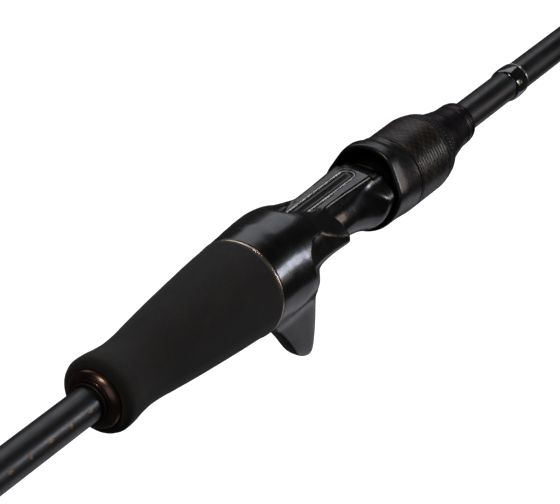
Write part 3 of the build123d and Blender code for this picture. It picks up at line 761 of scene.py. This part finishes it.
frontX = np.linspace(sleeveEnd + 0.6, nutEnd - 2.2, 14)
frontKnots = ((sleeveEnd, 12.45), (sleeveEnd + 2, 12.15), (sleeveEnd + 5.2, 11.35))
frontCurve = [(x, float(smoothCurve(frontKnots, x))) for x in frontX]
nutOutline = [
    (nutX, nutBore),
    (nutX, seamRadius - 0.25),
    (nutX + 0.12, seamRadius - 0.05),
    (sleeveX - 0.15, seamRadius - 0.05),
    (sleeveX - 0.1, seamRadius - 0.35),
    (sleeveX, seamRadius - 0.9),
    (sleeveEnd, seamRadius - 0.9),
    (sleeveEnd + 0.1, seamRadius - 0.35),
    (sleeveEnd + 0.3, 12.42),
    *frontCurve,
    (nutEnd - 2.0, 11.0),
    (nutEnd - 1.8, 11.15),
    (nutEnd - 1.0, 10.85),
    (nutEnd - 0.85, 10.6),
    (nutEnd, 10.3),
    (nutEnd, nutBore),
]
lockNut = turnedPiece("lockNutBody", nutOutline, 432, 0.08, knurl)
place(lockNut, nutBody, "satin_black_nut", materials["nut"], "lock_nut")


# The sleeve swells and sinks by one shallow rib for each tow along it.
def towRibs(x, angle, r):
    wave = 0.5 + 0.5 * np.cos((x - sleeveX) * 2 * math.pi / nut["ribPitch"])
    return r - nut["ribDepth"] * wave * (r > 12)


ribX = np.linspace(sleeveX + 0.25, sleeveEnd - 0.25, 110)
sleeveOutline = [
    (sleeveX, seamRadius - 0.9),
    (sleeveX, seamRadius - 0.1),
    *[(x, seamRadius) for x in ribX],
    (sleeveEnd, seamRadius - 0.1),
    (sleeveEnd, seamRadius - 0.9),
]
carbonSleeve = turnedPiece("carbonSleeve", sleeveOutline, 200, 0, towRibs)
place(carbonSleeve, nutBody, "woven_carbon", materials["carbon"], "nut_sleeve")
print("nut made")


# ---------- turned trim and grips ----------

def blankRadius(x):
    grip, fore, end = ringX - 90, ringX + 150, high("blank")[0]
    return float(np.interp(x, (3, grip, fore, end), (5.4, 5.15, 4.8, 0.95)))


checkX, checkEnd = low("front_check")[0], high("front_check")[0]
frontCheckOutline = [
    (checkX, blankRadius(checkX) + 0.8),
    (checkX, 8.9),
    (checkX + 0.5, 9.25),
    (checkX + 2.0, 9.1),
    (checkX + 2.15, 8.85),
    (checkX + 4.4, 8.6),
    (checkX + 7.0, 7.95),
    (checkX + 8.6, 7.7),
    (checkX + 8.8, 7.45),
    (checkX + 11.0, 7.25),
    (checkX + 13.1, 7.0),
    (checkX + 13.2, 6.8),
    (checkX + 13.6, 6.8),
    (checkX + 13.7, 7.05),
    (checkX + 15.9, 6.95),
    (checkX + 16.0, 6.7),
    (checkX + 16.4, 6.7),
    (checkX + 16.5, 6.95),
    (checkEnd - 0.2, 6.7),
    (checkEnd, 6.2),
    (checkEnd, blankRadius(checkEnd) + 0.8),
]
frontCheck = turnedPiece("frontCheckTurned", frontCheckOutline, 192, 0.12)
place(frontCheck, rodBody, "gunmetal_anodised", materials["gunmetal"], "front_check")


# A grip's winding check: a convex ring with a fine groove near its lip, from its face towards direction.
def gripCheck(name, node, direction):
    lowX, highX = low(node)[0], high(node)[0]
    face, lip = (lowX, highX) if direction > 0 else (highX, lowX)
    inner = blankRadius(face) + 0.8
    outline = [(face, inner), (face, 8.7)]
    for t in np.linspace(0.08, 0.84, 9):
        outline.append((face + (lip - face) * t, 8.7 - 2.0 * t**2.2))
    outline += [(face + (lip - face) * share, r) for share, r in ((0.86, 6.95), (0.9, 6.95), (0.92, 7.05))]
    outline += [(lip, 6.6), (lip, inner)]
    piece = turnedPiece(name, outline, 160, 0.08)
    place(piece, rodBody, "bronze_anodised", materials["bronze"], node)


gripCheck("mainCheckTurned", "main_grip_check", -1)
gripCheck("rearCheckTurned", "rear_grip_check", 1)


# A rubber sleeve that shows as a thin dark lip, from the node's own length.
def gasket(name, node):
    x0, x1 = low(node)[0], high(node)[0]
    r0, r1 = blankRadius(x0), blankRadius(x1)
    outline = [(x0, r0), (x1, r1), (x1, r1 + 0.8), (x0, r0 + 0.8)]
    place(turnedPiece(name, outline, 128, 0.25), rodBody, "rubber", materials["rubber"], node)


gasket("mainGasketSleeve", "main_grip_gasket")
gasket("rearGasketSleeve", "rear_grip_gasket")
gasket("frontGasketSleeve", "front_check_gasket")

gripX, gripEnd = low("main_grip")[0], high("main_grip")[0]
mainKnots = (
    (0, 9.9),
    (0.7, 10.9),
    (2.2, 11.45),
    (5.0, 11.3),
    (9.0, 10.75),
    (14.2, 10.4),
    (19.0, 10.6),
    (25.3, 11.3),
    (36.0, 12.45),
    (48.2, 13.55),
    (60.0, 14.5),
    (68.3, 14.98),
)
gripProfile = [(gripX + t, float(smoothCurve(mainKnots, t))) for t in np.linspace(0, gripEnd - gripX, 70)]
gripOutline = [
    (gripX, blankRadius(gripX)),
    (gripX, 9.4),
    *gripProfile,
    (gripEnd, blankRadius(gripEnd)),
]
mainGrip = turnedPiece("mainGripFoam", gripOutline, 192, 0)
place(mainGrip, rodBody, "eva_foam", materials["eva"], "main_grip")

rearX, rearEnd = low("rear_grip")[0], high("rear_grip")[0]
rearKnots = (
    (0, 13.0), (12, 12.9), (30, 12.3), (54.7, 11.0),
    (68, 10.9), (73.5, 11.0), (75.3, 10.6), (76, 9.8),
)
rearProfile = [(rearX + t, float(smoothCurve(rearKnots, t))) for t in np.linspace(0, rearEnd - rearX, 60)]
rearOutline = [(rearX, blankRadius(rearX)), *rearProfile, (rearEnd, 9.3), (rearEnd, blankRadius(rearEnd))]
rearGrip = turnedPiece("rearGripFoam", rearOutline, 160, 0)
place(rearGrip, rodBody, "eva_foam", materials["eva"], "rear_grip")

capEnd = high("butt_cap")[0]
capOutline = [(3, 0.01), (0.25, 0.01), (0.25, 9.0), (0, 9.5), (0, 11.2), (0.6, 12.4), (1.8, 13.0)]
capOutline += [(capEnd - 2.2, 13.0), (capEnd - 2.0, 12.8), (capEnd - 1.6, 12.8), (capEnd - 1.4, 13.0)]
capOutline += [(capEnd, 13.0), (capEnd, blankRadius(capEnd)), (3, blankRadius(3))]
buttCap = turnedPiece("buttCapRubber", capOutline, 160, 0.2)
place(buttCap, rodBody, "rubber", materials["rubber"], "butt_cap")

# two fine bright lines with a dark groove between them
ringStart = low("grip_front_ring")[0]
ringOutline = [
    (ringStart, blankRadius(ringStart)),
    (ringStart, 14.9),
    (ringStart + 0.06, 15.06),
    (ringStart + 0.28, 15.1),
    (ringStart + 0.34, 14.85),
    (ringStart + 0.52, 14.85),
    (ringStart + 0.58, 15.1),
    (ringStart + 0.82, 15.06),
    (ringX, 14.9),
    (ringX, blankRadius(ringX)),
]
frontRing = turnedPiece("gripFrontRing", ringOutline, 200, 0.03)
place(frontRing, rodBody, "bronze_anodised", materials["ring"], "grip_front_ring")
print("trim and grips made")


# ---------- blank, marks and wraps ----------

blankEnd = high("blank")[0]
blankX = np.concatenate([np.linspace(3, 560, 200), np.linspace(565, blankEnd, 160)])
blankOutline = [
    (3, 4.3),
    (blankEnd, 0.5),
    *[(x, blankRadius(x)) for x in blankX[::-1]],
]
rodBlank = turnedPiece("rodBlank", blankOutline, 96, 0)
place(rodBlank, rodBody, "carbon_blank", materials["blank"], "blank")

# a row of plain bronze lozenges on the blank behind the main grip, on both sides: painted reflections that
# stand for glints of the blank's cross wrap along its highlight
marks = dict(first=112.0, last=172.4, count=8, half=1.3, tall=0.2, lift=0.03)


# Each lozenge is a small grid bent round the blank, its width falling to nothing at both ends.
def paintedGlintMarks():
    u, v = np.meshgrid(np.linspace(-1, 1, 9), np.linspace(-1, 1, 5), indexing="ij")
    points, quads = [], []
    cell = gridQuads(9, 5, False, False)
    for side in (1, -1):
        for n, x0 in enumerate(np.linspace(marks["first"], marks["last"], marks["count"])):
            x = x0 + u * marks["half"] * (1.0 if n % 2 else 0.55)
            turn = side * (1.15 + marks["tall"] * v * (1 - np.abs(u) ** 1.2) * (0.55 if n % 2 else 1.0))
            r = np.interp(x, (3, ringX - 90), (5.4, 5.15)) + marks["lift"]
            r = np.where(x > ringX - 90, 5.15 - (x - ringX + 90) * 0.35 / 240 + marks["lift"], r)
            grid = np.stack([x, -r * np.sin(turn), r * np.cos(turn)], -1).reshape(-1, 3)
            quads.append((cell if side < 0 else cell[:, ::-1]) + len(points) * 45)
            points.append(grid)
    return meshPiece("paintedGlintMarks", np.concatenate(points), np.concatenate(quads))


blankMarks = paintedGlintMarks()
place(blankMarks, rodBody, "bronze_anodised", materials["print"])

wrapX, wrapEnd = low("handle_wrap")[0], high("handle_wrap")[0]
wrapKnots = ((0, 0.0), (0.5, 0.4), (1.4, 0.62), (3.5, 0.7), (5.9, 0.62), (7, 0.42))
wrapProfile = [
    (wrapX + t, blankRadius(wrapX + t) + 0.01 + float(smoothCurve(wrapKnots, t)))
    for t in np.linspace(0, 7, 24)
]
wrapOutline = [(wrapX, blankRadius(wrapX) - 0.05), *wrapProfile, (wrapEnd, blankRadius(wrapEnd) - 0.05)]
handleWrap = turnedPiece("handleWrapEpoxy", wrapOutline, 128, 0)
place(handleWrap, rodBody, "epoxied_thread", materials["thread"], "handle_wrap")
trimX, trimEnd = low("handle_wrap_trim")[0], high("handle_wrap_trim")[0]
trimOutline = [
    (trimX, blankRadius(trimX) - 0.05),
    (trimX, blankRadius(trimX) + 0.45),
    (trimX + 0.2, blankRadius(trimX) + 0.52),
    (trimEnd - 0.2, blankRadius(trimX) + 0.45),
    (trimEnd, blankRadius(trimEnd) + 0.1),
    (trimEnd, blankRadius(trimEnd) - 0.05),
]
wrapTrim = turnedPiece("handleWrapTrim", trimOutline, 128, 0.08)
place(wrapTrim, rodBody, "silver_trim", materials["silver"], "handle_wrap_trim")
print("blank and wraps made")


# ---------- carried-over nodes ----------

finishes = {
    "front_hood_liner": "nut",
    "hood_retainer": "steel",
    "rear_arbor": "foam",
    "front_arbor": "foam",
    "tip_top_frame": "chrome",
    "tip_top_ring": "ceramic",
    "tip_top_wrap": "thread",
}
for number in range(1, 9):
    finishes[f"guide_{number}_frame"] = "chrome"
    finishes[f"guide_{number}_ring"] = "ceramic"
    finishes[f"guide_{number}_wraps"] = "thread"
for node, finish in finishes.items():
    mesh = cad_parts[node].data
    mesh.materials.clear()
    mesh.materials.append(materials[finish])
    mesh.polygons.foreach_set("material_index", np.zeros(len(mesh.polygons), np.int32))
print("nodes finished")


# ---------- floor, light and camera ----------

view = dict(azimuth=-57.2, elevation=29.35, distance=829.0, across=11.31, over=10.15, lens=189.2)
studio = dict(floorDrop=-420.0, floorSize=9000.0, worldDark=0.035)


def direction(azimuth, elevation):
    a, e = math.radians(azimuth), math.radians(elevation)
    return np.array([math.cos(e) * math.sin(a), -math.cos(e) * math.cos(a), math.sin(e)])


back = direction(view["azimuth"], view["elevation"])
right = np.cross([0, 0, 1], back)
right /= np.linalg.norm(right)
up = np.cross(back, right)
target = np.array([ringX, 0, 0])


# A rotation that looks along -back, for a camera or a lamp.
def facing(backward):
    z = np.array(backward) / np.linalg.norm(backward)
    x = np.cross([0, 0, 1], z)
    x /= np.linalg.norm(x)
    y = np.cross(z, x)
    return [list(row) for row in np.stack([x, y, z], 1)]


def standAt(item, position, backward):
    matrix = Matrix(facing(backward)).to_4x4()
    matrix.translation = [float(c) * mm for c in position]
    item.matrix_world = matrix


cameraData = bpy.data.cameras.new("camera")
camera = bpy.data.objects.new("camera", cameraData)
bpy.context.scene.collection.objects.link(camera)
cameraData.lens = view["lens"]
cameraData.sensor_width = 36
cameraData.clip_end = 100
standAt(camera, target + view["across"] * right + view["over"] * up + view["distance"] * back, back)
bpy.context.scene.camera = camera

floorMaterial, _, floorShader = newMaterial("paleFloor", Roughness=0.9)
floorShader.inputs["Base Color"].default_value = toLinear("#f4f4f4")
floorShader.inputs["Emission Color"].default_value = toLinear("#fdfdfd")
floorShader.inputs["Emission Strength"].default_value = 1.0
size = studio["floorSize"]
corners = [(-size, -size, 0), (size, -size, 0), (size, size, 0), (-size, size, 0)]
floor = meshPiece("floor", [(x + ringX, y, studio["floorDrop"]) for x, y, z in corners], [(0, 1, 2, 3)])
floor.data.materials.append(floorMaterial)
floor.visible_glossy = False
floor.visible_diffuse = False

world = bpy.data.worlds.new("studio")
bpy.context.scene.world = world
world.use_nodes = True
worldTree = world.node_tree
background = worldTree.nodes["Background"]
isCamera = addNode(worldTree, "ShaderNodeLightPath").outputs["Is Camera Ray"]
worldColour = addNode(
    worldTree,
    "ShaderNodeMix",
    {0: isCamera, 6: (studio["worldDark"],) * 3 + (1,), 7: toLinear("#fdfdfd")},
    data_type="RGBA",
)
worldTree.links.new(worldColour.outputs[2], background.inputs["Color"])

# Each lamp: direction from the handle, distance, width, height, power in watts, warmth
lamps = (
    ("sideBox", (0.62, -0.74, 0.24), 900, 110, 210, 1.5, "#e9efff"),
    ("warmStrip", (0.74, -0.66, 0.10), 900, 60, 300, 0.4, "#ffe6c8"),
    ("backTop", (-0.40, -0.12, 0.90), 900, 160, 160, 2.4, "#fff1e2"),
    ("topBox", (0.55, 0.50, 0.68), 1300, 1500, 700, 4.5, "#f4f6ff"),
    ("frontFill", (-0.60, -0.70, 0.40), 1800, 1200, 1200, 2.0, "#ffffff"),
    ("lowCard", (0.55, -0.25, -0.80), 900, 700, 700, 0.7, "#f6f4ff"),
)
for name, toward, distance, wide, tall, power, colour in lamps:
    lampData = bpy.data.lights.new(name, "AREA")
    lampData.shape = "RECTANGLE"
    lampData.size, lampData.size_y = wide * mm, tall * mm
    lampData.energy = power
    lampData.color = toLinear(colour)[:3]
    lamp = bpy.data.objects.new(name, lampData)
    bpy.context.scene.collection.objects.link(lamp)
    toward = np.array(toward) / np.linalg.norm(toward)
    standAt(lamp, target + (30, 0, 0) + toward * distance, toward)
bpy.context.scene.view_settings.view_transform = "Standard"
